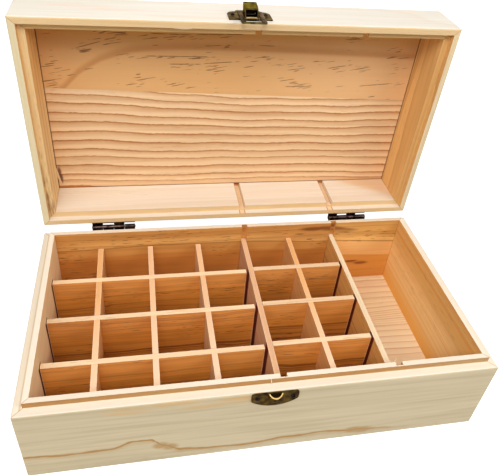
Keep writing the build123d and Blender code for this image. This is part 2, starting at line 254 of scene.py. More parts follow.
def group(name, vectors, values, results):
    """An empty shader node group. It takes vectors, then values, and gives its results as values."""
    tree = bpy.data.node_groups.new(name, "ShaderNodeTree")
    for labels, way, kind in ((vectors, "INPUT", "Vector"), (values, "INPUT", "Float"), (results, "OUTPUT", "Float")):
        for label in labels:
            tree.interface.new_socket(label, in_out=way, socket_type="NodeSocket" + kind)
    return tree, tree.nodes.new("NodeGroupInput").outputs, tree.nodes.new("NodeGroupOutput").inputs


def use(tree, node_group, **inputs):
    """A group placed in a material with its own values. Underscores in names stand for spaces."""
    placed = node(tree, "Group", node_tree=node_group)
    for label, value in inputs.items():
        feed(tree, placed.inputs[label.replace("_", " ")], value)
    return placed.outputs


def new_material(name):
    """A new material, with its node tree and its shader."""
    material = bpy.data.materials.new(name)
    material.use_nodes = True
    return material, material.node_tree, material.node_tree.nodes["Principled BSDF"]


def roughen(tree, shader, height, strength, distance):
    """A shader with a fine relief."""
    bump = node(tree, "Bump", {"Height": height, "Strength": strength, "Distance": distance})
    tree.links.new(bump.outputs[0], shader.inputs["Normal"])


# Shared effects of the pine, in board coordinates

def shifted(tree, given):
    """A group's vector moved by its seed, so that no two boards have the same noise."""
    seed = node(tree, "CombineXYZ", {axis: given["Seed"] for axis in "XYZ"})
    return vector_math(tree, "ADD", given["Vector"], seed.outputs[0])


def make_growth_rings():
    """How many growth rings lie between the pith and a point: its distance from the pith line over the ring
    spacing, bent by slow and quick noise, with rings of uneven width."""
    values = ["Spacing", "Pith Y", "Pith Z", "Waver", "Swirl", "Seed"]
    tree, given, out = group("growth rings", ["Vector"], values, ["Phase"])
    place = shifted(tree, given)
    plain = parts(tree, given["Vector"])
    across = less(tree, plain["Y"], given["Pith Y"])
    through = less(tree, plain["Z"], given["Pith Z"])
    radius = math(tree, "SQRT", math(tree, "ADD", times(tree, across, across), times(tree, through, through)))
    slow = sway(tree, place, (5, 16, 16), 1)
    quick = sway(tree, place, (22, 60, 60), 2)
    waved = sloped(tree, slow, times(tree, given["Waver"], 2.0), radius)
    waved = sloped(tree, quick, times(tree, given["Waver"], given["Swirl"]), waved)
    phase = math(tree, "DIVIDE", waved, given["Spacing"])
    uneven = node(tree, "TexNoise", {"W": times(tree, phase, 0.45), "Detail": 1.0}, noise_dimensions="1D")
    tree.links.new(sloped(tree, uneven.outputs["Fac"], 1.6, phase), out["Phase"])
    return tree


def make_latewood():
    """The dark part of each ring: rising slowly through it to a thin dark line, then falling at once."""
    tree, given, out = group("latewood", [], ["Phase", "Even"], ["Latewood"])
    profile = ramp(tree, math(tree, "FRACT", given["Phase"]), [
        (0.0, 0.0), (0.30, 0.06), (0.60, 0.24), (0.82, 0.50), (0.92, 1.0), (0.96, 0.55), (1.0, 0)])
    ring = node(tree, "TexWhiteNoise", {"W": math(tree, "FLOOR", given["Phase"])}, noise_dimensions="1D")
    weight = sloped(tree, ring.outputs["Value"], rest_of(tree, given["Even"]), given["Even"])
    tree.links.new(times(tree, profile, weight), out["Latewood"])
    return tree


def make_fibre():
    """Fine lines along the grain, slow changes of tone, and short dark resin flecks in loose clusters."""
    results = ["Fibre", "Streaks", "Tone", "Dashes", "Clusters"]
    tree, given, out = group("wood fibre", ["Vector"], ["Seed"], results)
    place = shifted(tree, given)
    fine = noise(tree, place, (14, 900, 900), 3)
    coarse = noise(tree, place, (7, 180, 180), 2)
    tree.links.new(sloped(tree, fine, 0.55, times(tree, coarse, 0.45)), out["Fibre"])
    tree.links.new(noise(tree, place, (9, 260, 260), 2), out["Streaks"])
    tree.links.new(noise(tree, place, (2.5, 14, 14), 2), out["Tone"])
    tree.links.new(ramp(tree, noise(tree, place, (85, 900, 900), 1), [(0.63, 0), (0.69, 1)]), out["Dashes"])
    tree.links.new(ramp(tree, noise(tree, place, (9, 40, 40), 1), [(0.5, 0), (0.6, 1)]), out["Clusters"])
    return tree


def make_edge_wear():
    """Nearness to an edge of a board that fills the box from Low to High, for pale edges that are partly worn and
    partly a painted highlight: the middle one of the three distances to its faces, with the line's width broken up
    by noise."""
    tree, given, out = group("edge wear and highlight", ["Vector", "Low", "High"], ["Width"], ["Edge"])
    from_low = vector_math(tree, "SUBTRACT", given["Vector"], given["Low"])
    from_high = vector_math(tree, "SUBTRACT", given["High"], given["Vector"])
    x, y, z = parts(tree, vector_math(tree, "MINIMUM", from_low, from_high))
    least = math(tree, "MINIMUM", math(tree, "MINIMUM", x, y), z)
    total = math(tree, "ADD", math(tree, "ADD", x, y), z)
    middle = less(tree, less(tree, total, least), strongest(tree, (x, y, z)))
    rough = noise(tree, given["Vector"], 420, 2)
    reach = times(tree, given["Width"], sloped(tree, rough, 2.4, -0.4))
    share = math(tree, "DIVIDE", middle, math(tree, "MAXIMUM", reach, 0.00002))
    tree.links.new(math(tree, "SUBTRACT", 1.0, share, clamp=True), out["Edge"])
    return tree


def make_spot():
    """1 in the middle of an ellipse, falling smoothly to 0 at its rim."""
    tree, given, out = group("soft spot", ["Vector", "Centre", "Size"], [], ["Spot"])
    away = vector_math(tree, "SUBTRACT", given["Vector"], given["Centre"])
    scaled = vector_math(tree, "DIVIDE", away, given["Size"])
    length = node(tree, "VectorMath", {0: scaled}, operation="LENGTH").outputs["Value"]
    tree.links.new(rise(tree, length, 1.0, 0.35), out["Spot"])
    return tree


def make_mitre_line():
    """The hairline where two boards meet at 45 degrees: equal distances to two neighbouring sides."""
    tree, given, out = group("mitre line", ["Vector"], ["Half X", "Half Y"], ["Line"])
    away = parts(tree, node(tree, "VectorMath", {0: given["Vector"]}, operation="ABSOLUTE").outputs[0])
    from_end = less(tree, given["Half X"], away["X"])
    from_side = less(tree, given["Half Y"], away["Y"])
    tree.links.new(rise(tree, apart(tree, from_end, from_side), 0.00055, 0.0001), out["Line"])
    return tree


growth_rings = make_growth_rings()
latewood = make_latewood()
wood_fibre = make_fibre()
edge_wear_and_highlight = make_edge_wear()
soft_spot = make_spot()
mitre_line = make_mitre_line()

worn_and_highlit_edge, edge_share = (255, 236, 205), 0.55
resin_brown = (104, 60, 30)
mitre_brown, mitre_share = (168, 112, 62), 0.55
planed_clean = 0.75
fibre_roughness = (0.2, 0.52)
soft_line = 0.0003


class Board:
    """What a painter of one board's own marks works with: its board coordinates and its figure."""

    def __init__(self, tree, placed, figure):
        self.tree, self.vector, self.figure = tree, placed, figure
        self.x, self.y, self.z = parts(tree, placed)
        _, self.place_y, self.place_z = parts(tree, node(tree, "TexCoord").outputs["Object"])

    def fibre(self, low, high):
        """The fine lines along the grain, from low to high."""
        return ramp(self.tree, self.figure["Fibre"], [(0.25, low), (0.75, high)])

    def streaks(self, *stops):
        """The coarser lines along the grain, passed through a curve."""
        return ramp(self.tree, self.figure["Streaks"], stops)

    def spots(self, places, size):
        """The strongest of several soft spots, given by their middles (x, y) in millimetres."""
        size = (size[0] / 1000, size[1] / 1000, 1)
        return strongest(self.tree, [
            use(self.tree, soft_spot, Vector=self.vector, Centre=(x / 1000, y / 1000, 0), Size=size)[0]
            for x, y in places])


def pine(name, grain, across, origin, light, dark, zones=(), pith=(0.0, -0.05), spacing=0.006, waver=0.004,
         swirl=0.22, seed=0.0, late=0.75, even=0.4, fleck=0.5, tone=0.2, streaks=0.25, rings=None, paint=None,
         box=None, wear=0.0006, mitre=None):
    """A bare pine finish for one board. light and dark are its early and late wood. zones are (direction,
    light, dark) for faces that differ, such as a planed outside or a top painted lighter where light falls, with
    a height that they end at where one is given. late, even, fleck, tone and streaks are strengths. rings and
    paint are the board's own. mitre is the place and direction of its frame's middle."""
    material, tree, shader = new_material(name)
    coordinates = node(tree, "TexCoord").outputs["Object"]
    placed = laid_out(tree, coordinates, origin, grain, across)
    figure = use(tree, wood_fibre, Vector=placed, Seed=seed)
    board = Board(tree, placed, figure)
    phase = use(tree, growth_rings, Vector=placed, Spacing=spacing, Pith_Y=pith[0], Pith_Z=pith[1],
                Waver=waver, Swirl=swirl, Seed=seed)["Phase"]
    if rings:
        phase = rings(tree, board, phase)
    board.latewood = use(tree, latewood, Phase=phase, Even=even)["Latewood"]
    light_colour, dark_colour = srgb(*light), srgb(*dark)
    zone_part = 0.0
    for direction, zone_light, zone_dark, *limit in zones:
        turned = facing(tree, direction)
        if limit:
            turned = times(tree, turned, rise(tree, board.y, limit[0] + soft_line, limit[0]))
        light_colour = stain(tree, light_colour, zone_light, turned)
        dark_colour = stain(tree, dark_colour, zone_dark, turned)
        zone_part = math(tree, "MAXIMUM", zone_part, turned)
    along = ramp(tree, figure["Tone"], [(0.3, 0.7), (0.7, 1.1)])
    colour = mix(tree, times(tree, board.latewood, late, along), light_colour, dark_colour)
    colour = shade(tree, colour, board.fibre(0.88, 1.0))
    colour = mix(tree, times(tree, board.streaks((0.48, 0), (0.72, 1)), streaks), colour, dark_colour)
    colour = shade(tree, colour, ramp(tree, figure["Tone"], [(0.3, 1 - tone), (0.7, 1.0)]))
    colour = stain(tree, colour, resin_brown, figure["Dashes"], figure["Clusters"], fleck,
                   sloped(tree, zone_part, -planed_clean, 1.0))
    if paint:
        colour = paint(tree, board, colour)
    low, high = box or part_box(name.replace(" ", "_"))
    if mitre:
        plan = laid_out(tree, coordinates, mitre[0], right_x, mitre[1])
        line = use(tree, mitre_line, Vector=plan, Half_X=cad_box[1].x, Half_Y=-front_y)["Line"]
        colour = stain(tree, colour, mitre_brown, line, mitre_share)
    edge = use(tree, edge_wear_and_highlight, Vector=coordinates, Low=low, High=high, Width=wear)["Edge"]
    # pale edges: partly wear, partly a painted highlight
    colour = stain(tree, colour, worn_and_highlit_edge, edge, edge_share)
    tree.links.new(colour, shader.inputs["Base Color"])
    tree.links.new(sloped(tree, figure["Fibre"], *fibre_roughness), shader.inputs["Roughness"])
    roughen(tree, shader, sloped(tree, board.latewood, 0.5, figure["Fibre"]), strength=0.3, distance=0.0002)
    shader.inputs["Specular IOR Level"].default_value = 0.25
    return material


def dress(material, *names):
    """A finish put on CAD nodes."""
    for name in names:
        for slot in nodes[name].material_slots:
            slot.material = material


def clad(name, *wood, **marks):
    """A pine finish of its own for one CAD node."""
    dress(pine(name.replace("_", " "), *wood, **marks), name)


# Marks of single boards. Colours are as on a screen, and heights and lengths on a board are in metres

board_half = 0.166
lip_foot = 0.0700
divider_height = 0.056
divider_top = 0.0595
floor_depth, floor_ring_count = 0.17, 26
panel_half = 0.1556


def paint_front(tree, board, colour):
    """A tan resin streak that wanders along the lower part of the front, with two knots on it, and painted shade on the
    front face of the lip.
    """
    middle = curve(tree, board.x, board_half, 0.04, [
        (-board_half, 0.0245), (-0.129, 0.0222), (-0.110, 0.0232), (-0.094, 0.0285), (-0.083, 0.0284), (-0.074, 0.0200),
        (-0.062, 0.0125), (-0.040, 0.0100), (-0.013, 0.0090), (0.012, 0.0122), (0.040, 0.0130), (0.070, 0.0105),
        (0.110, 0.0070), (board_half, 0.0035)])
    ragged = sloped(tree, noise(tree, board.vector, (60, 300, 1), 2), 0.004, -0.002)
    away = less(tree, math(tree, "ADD", board.y, ragged), middle)
    line = rise(tree, math(tree, "ABSOLUTE", away), 0.0017, 0.0003)
    below = times(tree, rise(tree, away, -0.007, -0.0005), rise(tree, away, 0.0008, 0.0))
    streak = times(tree, sloped(tree, below, 0.35, times(tree, line, 0.85)), rise(tree, board.x, 0.13, 0.05))
    knots = board.spots([(-76, 20), (-70, 17.5)], (8, 5.5))
    far_knot = board.spots([(66, 10.5), (73, 9.5)], (11, 5.5))
    marks = math(tree, "MAXIMUM", streak, times(tree, strongest(tree, (knots, far_knot)), 0.75))
    outward = facing(tree, -back_y)
    # painted shade: the lip's front face, above the ledge, in a darker tan
    lip = times(tree, rise(tree, board.y, lip_foot, lip_foot + soft_line), outward)
    colour = mix(tree, lip, colour, shade(tree, srgb(186, 136, 80), board.fibre(0.8, 1.05)))
    warm = board.spots([(-96, 64), (-66, 66), (-46, 62), (-25, 64)], (24, 5))
    colour = stain(tree, colour, (220, 172, 108), warm, board.streaks((0.32, 0.1), (0.58, 1)), outward, 0.9)
    cool = ramp(tree, noise(tree, board.vector, (6, 60, 1), 2), [(0.45, 0), (0.65, 1)])
    fine = board.streaks((0.3, 1.05), (0.5, 1.0), (0.7, 0.90))
    colour = mix(tree, outward, colour, shade(tree, colour, fine))
    colour = stain(tree, colour, (188, 172, 136), cool, outward, 0.4)
    return stain(tree, colour, (176, 134, 78), marks, outward)


def paint_back_wall(tree, board, colour):
    """A planed upper strip of lighter, pinker wood over a darker lower part, with a sharp line between them. Painted
    shade deepens further down, and painted light brightens the part in the open compartment, with a bright band across
    it.
    """
    line = curve(tree, board.x, board_half, 0.08, [
        (-board_half, 0.0555), (-0.120, 0.0562), (-0.079, 0.0580), (0.003, 0.0575), (0.085, 0.0530),
        (board_half, 0.0490)])
    above = less(tree, board.y, line)
    inside = facing(tree, -back_y)
    colour = tinge(tree, colour, (236, 220, 200), rise(tree, above, 0.0004, -0.0004), inside, 0.9)
    # painted shade: darker further down the wall, in the cells
    colour = tinge(tree, colour, (244, 222, 196), rise(tree, above, -0.0090, -0.0105), inside, 0.8)
    colour = tinge(tree, colour, (216, 196, 172), rise(tree, above, 0.004, 0.010), inside, 0.6)
    # painted light: the wall in the open compartment lightened, with a bright band across it
    open_part = times(tree, rise(tree, board.x, 0.088, 0.096), inside)
    colour = mix(tree, times(tree, open_part, 0.8), colour, shade(tree, colour, (1.12, 1.35, 1.5, 1)))
    painted_light_band = times(tree, near(tree, above, -0.0095, 0.0078, 0.001), open_part)
    painted_light_wood = shade(tree, srgb(255, 200, 130), board.fibre(0.8, 1.0))
    colour = mix(tree, times(tree, painted_light_band, 0.7), colour, painted_light_wood)
    foot_knot = board.spots([(116, 25.5), (127, 22.5)], (10, 3))
    colour = stain(tree, colour, (150, 82, 34), foot_knot, board.streaks((0.4, 0), (0.55, 1)), inside)
    colour = stain(tree, colour, (120, 66, 30), near(tree, above, 0.0, 0.0001, 0.0008), inside, 0.5)
    knot = board.spots([(72, 68.5), (84, 69), (92, 67), (100, 65)], (18, 3.6))
    return stain(tree, colour, (116, 54, 18), knot, board.streaks((0.32, 0.2), (0.52, 1)), inside, 0.8)


def gap_shadows_behind(grid, direction):
    """A painter of painted shadow in the gaps at the ends of a grid's cross dividers, on the face that they stop short
    of.
    """
    reach, before = 0.0080, 0.0013
    places = [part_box(name)[0].y + reach / 2 - before for name in nodes if name.startswith(grid + "_cross_divider")]

    def paint(tree, board, colour):
        dark = strongest(tree, [near(tree, board.place_y, y, reach / 2, 0.0004) for y in places])
        below = rise(tree, board.place_z, divider_top, divider_top - 0.0015)
        # painted shadow: dark bands where the gaps at the dividers' ends lie in shade
        return stain(tree, colour, (104, 14, 0), dark, below, 0.97, facing(tree, direction))

    return paint


def paint_base_left(tree, board, colour):
    """Painted shadow in the gaps behind the dividers' ends, and a painted shade line at the foot of the lip."""
    colour = gap_shadows_behind("left", right_x)(tree, board, colour)
    # painted shade: a line on the ledge where it meets the foot of the lip
    return stain(tree, colour, (196, 160, 112), near(tree, board.z, 0.0046, 0.0003, 0.0006), facing(tree, up_z), 0.5)


def paint_base_right(tree, board, colour):
    """Golden near the floor and deeper under the rim, on the inside."""
    inner = stain(tree, colour, (242, 174, 58), rise(tree, board.y, 0.028, 0.006), 0.65)
    inner = tinge(tree, inner, (240, 226, 200), rise(tree, board.y, 0.042, 0.058))
    return mix(tree, facing(tree, -right_x), colour, inner)


def floor_rings(tree, board, phase):
    """Rings that run along the bottom panel, close together in one stretch and wide apart elsewhere."""
    bent = sloped(tree, noise(tree, board.vector, (9, 24, 1), 1), 0.006, board.y)
    placed = math(tree, "DIVIDE", math(tree, "ADD", bent, floor_depth / 2), floor_depth)
    stops = [(0.0, 0.0), (0.40, 0.22), (0.60, 0.42), (0.74, 0.78), (0.86, 0.90), (1.0, 1.0)]
    return times(tree, ramp(tree, placed, stops), floor_ring_count)


def paint_floor(tree, board, colour):
    """Painted light: paler and pinker towards the front."""
    early = sloped(tree, board.latewood, -0.5, 0.65)
    # painted light: a paler, pinker pool towards the front
    return stain(tree, colour, (255, 238, 204), rise(tree, board.y, 0.035, -0.015), early)


def paint_cross(tree, board, colour):
    """Painted light along the sawn top, and painted shade, deeper and redder, down in the cell."""
    height = math(tree, "DIVIDE", board.y, divider_height)
    # painted shade darkening down the cell, and painted light near the top of the sides
    colour = shade(tree, colour, ramp(tree, height, [(0.3, 0.84), (0.8, 1.0), (1.0, 1.06)]))
    sides = rest_of(tree, facing(tree, up_z))
    return stain(tree, colour, (222, 160, 104), rise(tree, board.y, 0.030, 0.054), sides, 0.28)


def paint_long(tree, board, colour):
    """Sawn tops that grow paler towards the front."""
    return stain(tree, colour, (255, 226, 196), rise(tree, board.place_y, 0.04, -0.08), facing(tree, up_z), 0.6)


def panel_rings(tree, board, phase):
    """The lower board of the lid's panel has nearly straight rings at measured heights, which rise to the left.
    Above its glued joint the upper board has wide ones."""
    spread = sloped(tree, rise(tree, board.x, -0.13, 0.0), 0.08, 0.92)
    tilt = times(tree, sloped(tree, board.x, 0.009, board.y), spread)
    for scale, detail, amount in (((11, 9, 1), 1, 0.0085), ((42, 60, 1), 2, 0.0020), ((260, 420, 1), 2, 0.0012)):
        tilt = sloped(tree, sway(tree, board.vector, scale, detail), amount, tilt)
    heights = (13.5, 19.5, 25.5, 34.5, 43.0, 50.0, 58.4, 66.7, 75.3, 82.3, 90.5, 97.2, 103.8, 112.0)
    tallest, most = 120, 16
    stops = [(height / tallest, (number + 0.93) / most) for number, height in enumerate(heights)]
    lower = times(tree, ramp(tree, math(tree, "DIVIDE", tilt, tallest / 1000), stops), most)
    joint = sloped(tree, board.x, -0.0326, 0.1068)
    board.upper = rise(tree, board.y, joint, math(tree, "ADD", joint, 0.0002))
    return math(tree, "ADD", times(tree, lower, rest_of(tree, board.upper)), times(tree, phase, 0.22, board.upper))


# Resin flecks of the upper board, in millimetres: clusters as (middles, size), and long thin ones as (start,
# end, height, slope)
fleck_clusters = (
    ([(-146, 132), (-139, 127), (-147, 122), (-150, 117)], (11, 6)),
    ([(-122, 144), (-110, 149), (-98, 152)], (12, 4)), ([(-113, 153), (-100, 157)], (10, 3.5)),
    ([(-97, 158), (-60, 155), (-25, 156)], (26, 3.2)), ([(-60, 138.5), (-35, 139)], (24, 2.6)),
    ([(-42, 131.5), (-20, 130)], (22, 4.5)), ([(-84, 117), (-76, 122), (-60, 116), (-45, 113)], (12, 4.5)),
    ([(-13, 148.5), (-88, 140), (-130, 121)], (9, 2.6)), ([(20, 138), (33, 136), (46, 132)], (17, 5.5)),
    ([(47, 120), (58, 114)], (15, 6)), ([(76, 137), (90, 131), (112, 132)], (16, 5)),
    ([(60, 160), (100, 158)], (22, 3.5)), ([(135, 149), (139, 142), (145, 131), (146, 116)], (15, 3)))
long_flecks = (
    (-76, -18, 139.8, 0.0), (-72, -38, 157.8, -0.02), (-34, 4, 158.6, 0.02), (-58, -30, 133.4, 0.01),
    (-30, 2, 135.2, 0.08), (-30, -6, 149.4, 0.05), (-132, -96, 149.3, 0.30), (40, 62, 114.6, 0.04),
    (76, 100, 133.2, 0.17), (108, 148, 117.0, 0.09), (80, 104, 159.0, -0.16), (8, 30, 150.2, -0.03))


def upper_flecks(tree, board):
    """1 on the resin flecks: slanting dashes of noise where the clusters lower its limit, and broken lines."""
    slanted = sloped(tree, board.x, -0.16, board.y)
    sheared = node(tree, "CombineXYZ", {"X": board.x, "Y": slanted, "Z": board.z}).outputs[0]
    where = strongest(tree, [board.spots(places, size) for places, size in fleck_clusters])
    limit = sloped(tree, where, -0.135, 0.72)
    flecks = rise(tree, noise(tree, sheared, (70, 1000, 1), 1.0), limit, math(tree, "ADD", limit, 0.03))
    broken = ramp(tree, noise(tree, board.vector, (110, 500, 1), 2), [(0.36, 0), (0.5, 1)])
    for start, end, height, slope in long_flecks:
        centre, half = (start + end) / 2000, (end - start) / 2000
        middle = sloped(tree, less(tree, board.x, centre), slope, height / 1000)
        within = near(tree, board.x, centre, half - 0.004, 0.004)
        thin = rise(tree, apart(tree, board.y, middle), 0.00055, 0.00015)
        flecks = math(tree, "MAXIMUM", flecks, times(tree, thin, within, broken))
    return flecks


def paint_panel(tree, board, colour):
    """The upper board: smooth pinkish tan with one broad arc of growth and clusters of slanting resin flecks, with a
    golden cast of painted shade from reflected light towards the front board, painted shade along the panel's joints
    with the walls, and a painted shadow beside the splinter at the left corner.
    """
    outside = colour
    plain = shade(tree, srgb(232, 179, 118), board.fibre(0.92, 1.0))
    plain = shade(tree, plain, ramp(tree, board.figure["Tone"], [(0.3, 0.92), (0.7, 1.0)]))
    plain = mix(tree, rise(tree, board.x, -0.02, 0.10), plain, shade(tree, plain, (1.07, 1.12, 1.28, 1)))
    # painted shade: a golden cast towards the front board, for light reflected from it
    plain = tinge(tree, plain, (242, 224, 142), rise(tree, board.y, 0.140, 0.172))
    arc = curve(tree, board.x, 0.156, 0.18, [
        (-0.156, 0.100), (-0.140, 0.1120), (-0.128, 0.1250), (-0.110, 0.1370), (-0.085, 0.1450), (-0.04, 0.1480),
        (0.04, 0.1465), (0.156, 0.1420)], "B_SPLINE")
    past = less(tree, board.y, arc)
    plain = stain(tree, plain, (190, 124, 62), rise(tree, past, 0.0065, 0.0005), rise(tree, past, -0.0035, 0.0), 0.55)
    plain = stain(tree, plain, (80, 36, 12), upper_flecks(tree, board), 0.68)
    colour = mix(tree, board.upper, colour, plain)
    colour = tinge(tree, colour, (246, 206, 150), board.latewood, rest_of(tree, board.upper))
    colour = stain(tree, colour, (196, 122, 58), rise(tree, board.y, 0.020, 0.0130), 0.45)
    # painted shade along the panel's joints with the walls
    beside = near(tree, math(tree, "ABSOLUTE", board.x), panel_half, 0.0005, 0.0008)
    joint_shade = math(tree, "MAXIMUM", beside, near(tree, board.y, 0.0140, 0.0005, 0.0008))
    colour = stain(tree, colour, (84, 42, 18), joint_shade, 0.85)
    # painted shadow beside the splinter at the left corner
    splinter_shadow = board.spots([(-153.2, 31), (-152.4, 25)], (2.4, 8))
    colour = stain(tree, colour, (104, 44, 22), splinter_shadow, 0.85)
    return mix(tree, facing(tree, -lid_up), outside, colour)


def paint_lid_front(tree, board, colour):
    """Faint pinkish streaks on the planed outside."""
    streaks = board.spots([(-122, 25), (-96, 19), (-52, 8.5), (-34, 7.5), (38, 10)], (34, 3.4))
    line = sloped(tree, board.x, -0.028, 0.0385)
    line = times(tree, near(tree, board.y, line, 0.0003, 0.0012), rise(tree, board.x, 0.005, 0.03))
    return stain(tree, colour, (244, 214, 186), strongest(tree, (streaks, line)), facing(tree, lid_out), 0.5)


def paint_lid_left(tree, board, colour):
    """Darker torn grain where the rebate was cut, two long brown streaks down the wall, and a warm painted shade from
    reflected light towards the front board on the inside.
    """
    torn = ramp(tree, noise(tree, board.vector, (70, 500, 500), 3), [(0.42, 0), (0.6, 1)])
    depth = near(tree, board.y, 0.0060, 0.0016, 0.0030)
    colour = stain(tree, colour, (132, 76, 30), depth, torn, rise(tree, board.x, 0.085, 0.03), 0.75)
    stripe = math(tree, "ADD", near(tree, board.y, 0.019, 0.0004, 0.0016), near(tree, board.y, 0.029, 0.0003, 0.0012))
    inside = facing(tree, right_x)
    # painted shade: warmer and darker towards the front board, for light reflected from it
    colour = tinge(tree, colour, (255, 234, 204), rise(tree, board.x, 0.06, 0.15), inside)
    return stain(tree, colour, (160, 100, 48), stripe, 0.4, inside)


def paint_lid_back(tree, board, colour):
    """A pale planed strip with a tan flame at its right end, and its two grooves, with painted light on their floors
    and a painted shadow line along their edges.
    """
    slant = sloped(tree, board.x, -0.55, 0.098)
    pale = rise(tree, less(tree, board.y, slant), 0.006, -0.004)
    inner = facing(tree, lid_out)
    colour = stain(tree, colour, (226, 176, 116), rest_of(tree, pale), rise(tree, board.x, 0.07, 0.10), inner, 0.55)
    for name in ("centre_partition", "end_partition"):
        low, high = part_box(name)
        beside = apart(tree, board.x, (low.x + high.x) / 2)
        half = (high.x - low.x) / 2
        # painted light on the groove's floor, and a painted shadow line along its edges
        colour = stain(tree, colour, (234, 186, 124), rise(tree, beside, half + soft_line, half), inner, 0.6)
        colour = stain(tree, colour, (168, 104, 46), near(tree, beside, half + soft_line, 0.0002, 0.0004), inner, 0.8)
    return colour


# Case: pale planed outsides and rims, warmer insides

planed = ((250, 236, 208), (232, 204, 160))
rim = ((252, 238, 216), (242, 216, 180))
base_mitre = ((0, 0, 0), back_y)
lid_mitre = (hinge_place + lid_out * hinge_place.y, lid_out)
rim_strip = 0.002

# painted shade: the outward face of the base's front is a darker, greyer copy of the planed wood
clad("base_front_board", right_x, up_z, (0, front_y, 0), (230, 178, 112), (196, 134, 70), pith=(0.02, -0.3),
     zones=[(up_z, *rim), (-back_y, (220, 203, 168), (196, 172, 130))], spacing=0.022, waver=0.012,
     late=0.7, seed=2.7, fleck=0.12, streaks=0.3, tone=0.1, paint=paint_front, mitre=base_mitre)
clad("base_back_board", right_x, up_z, (0, -front_y, 0), (252, 186, 104), (182, 102, 40), pith=(0.02, -0.03),
     zones=[(up_z, *rim), (back_y, *planed)], spacing=0.011, waver=0.006, late=0.75, seed=3.1, fleck=0.85,
     paint=paint_back_wall, mitre=base_mitre)
clad("base_left_board", back_y, up_z, (cad_box[0].x, 0, 0), (255, 226, 178), (246, 196, 136),
     zones=[(up_z, *rim), (-right_x, *planed)], spacing=0.012, late=0.5, seed=5.2, fleck=0.2, tone=0.05,
     paint=paint_base_left, mitre=base_mitre)
clad("base_right_board", back_y, up_z, (cad_box[1].x, 0, 0), (255, 220, 152), (240, 158, 84), pith=(0.09, 0.02),
     zones=[(up_z, *rim), (right_x, *planed)], spacing=0.0055, waver=0.003, late=0.8, seed=7.3, fleck=0.2,
     tone=0.06, paint=paint_base_right, mitre=base_mitre)
clad("base_bottom_panel", right_x, back_y, (0, 0, 0), (255, 234, 192), (206, 118, 52), rings=floor_rings,
     late=1.0, seed=19.9, fleck=0.2, tone=0.05, paint=paint_floor)

# Lid

# painted light: the lid's front face, turned up when open, is a near white copy of the planed wood
clad("lid_front_board", right_x, lid_up, lid_face, (240, 198, 130), (218, 168, 100), pith=(0.0, -0.2), spacing=0.02,
     zones=[(lid_up, *planed), (lid_out, (255, 246, 230), (246, 220, 192)),
            (-lid_up, (232, 198, 148), (212, 168, 110), rim_strip)],
     waver=0.01, late=0.5, seed=9.4, fleck=0.1, tone=0.1, paint=paint_lid_front, mitre=lid_mitre)
clad("lid_back_board", right_x, lid_up, hinge_place, (242, 227, 206), (228, 196, 156), pith=(-0.06, -0.2),
     zones=[(lid_up, *planed), (-lid_out, *planed), (-lid_up, (236, 200, 148), (216, 166, 108))],
     spacing=0.009, late=0.4, seed=11.5, fleck=0.15, tone=0.1, paint=paint_lid_back, mitre=lid_mitre)
clad("lid_left_board", lid_out, lid_up, hinge_place, (255, 220, 160), (216, 150, 80), pith=(-0.02, 0.02),
     zones=[(lid_up, *planed), (-right_x, *planed), (-lid_up, (244, 226, 184), (224, 194, 136), rim_strip)],
     spacing=0.008, waver=0.003, late=0.7, seed=13.6, fleck=0.2, paint=paint_lid_left, mitre=lid_mitre)
clad("lid_right_board", lid_out, lid_up, hinge_place, (250, 200, 128), (200, 134, 66), pith=(-0.03, 0.1),
     zones=[(lid_up, *planed), (right_x, *planed), (-lid_up, (246, 222, 180), (224, 188, 132), rim_strip)],
     spacing=0.009, waver=0.006, late=0.8, seed=15.7, fleck=0.2, mitre=lid_mitre)
clad("lid_top_panel", right_x, lid_out, hinge_place, (250, 214, 168), (152, 82, 24), rings=panel_rings,
     zones=[(lid_up, *planed)], late=1.0, even=0.7, seed=17.8, fleck=0.15, tone=0.06, streaks=0.2, wear=0.00001,
     paint=paint_panel)

# Dividers: long ones paler on their sides, short ones of darker heartwood, with their tops painted lighter where light
# falls on them

longs = sorted(name for name in nodes if "long_divider" in name or name.endswith("partition"))
crosses = sorted(name for name in nodes if "cross_divider" in name)
chance = np.random.default_rng(7)
top_painted_lighter = 14
long_painters = {"centre_partition": gap_shadows_behind("left", -right_x), "end_partition": gap_shadows_behind("right", -right_x)}
long_tones = {"left_long_divider_1": ((236, 176, 112), (206, 136, 72)),
              "right_long_divider_1": ((238, 176, 110), (206, 136, 72)),
              "centre_partition": ((236, 184, 138), (190, 124, 84)),
              "end_partition": ((250, 190, 108), (172, 100, 40))}
for name in longs:
    light, dark = long_tones.get(name, ((240, 190, 140), (208, 146, 92)))
    # painted light: the tops of the long dividers are lighter than their sides
    top = (tuple(min(255, tone + top_painted_lighter) for tone in light), light)
    if name == "end_partition":
        top = ((254, 230, 192), (248, 210, 160))
    clad(name, back_y, up_z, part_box(name)[0], light, dark, zones=[(up_z, *top)],
         paint=long_painters.get(name, paint_long), seed=20 + chance.uniform(0, 9),
         pith=(chance.uniform(-0.06, 0.1), -0.02), spacing=chance.uniform(0.003, 0.007), waver=0.003,
         late=0.9 if name.endswith("partition") else 0.6, fleck=0.5)
for name in crosses:
    drift = chance.uniform(-8, 8)
    light, dark = (246 + drift, 160 + drift, 64 + drift / 2), (150 + drift, 74 + drift, 22 + drift / 2)
    # painted light: the tops of the cross dividers are lighter than their sides
    clad(name, right_x, up_z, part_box(name)[0], light, dark, zones=[(up_z, (255, 222, 178), (238, 190, 140))],
         seed=40 + chance.uniform(0, 30), pith=(chance.uniform(-0.05, 0.03), -0.015),
         spacing=chance.uniform(0.006, 0.011), waver=chance.uniform(0.004, 0.009), late=0.95, even=0.25,
         swirl=chance.uniform(0.5, 1.3), fleck=0.8, streaks=0.3, paint=paint_cross)


# Fittings

shadow_black = (20, 13, 12)
nail_ring_size = (0.0032, 0.0060, 0.0032)
fitting_round = 0.00018
duller = 0.12


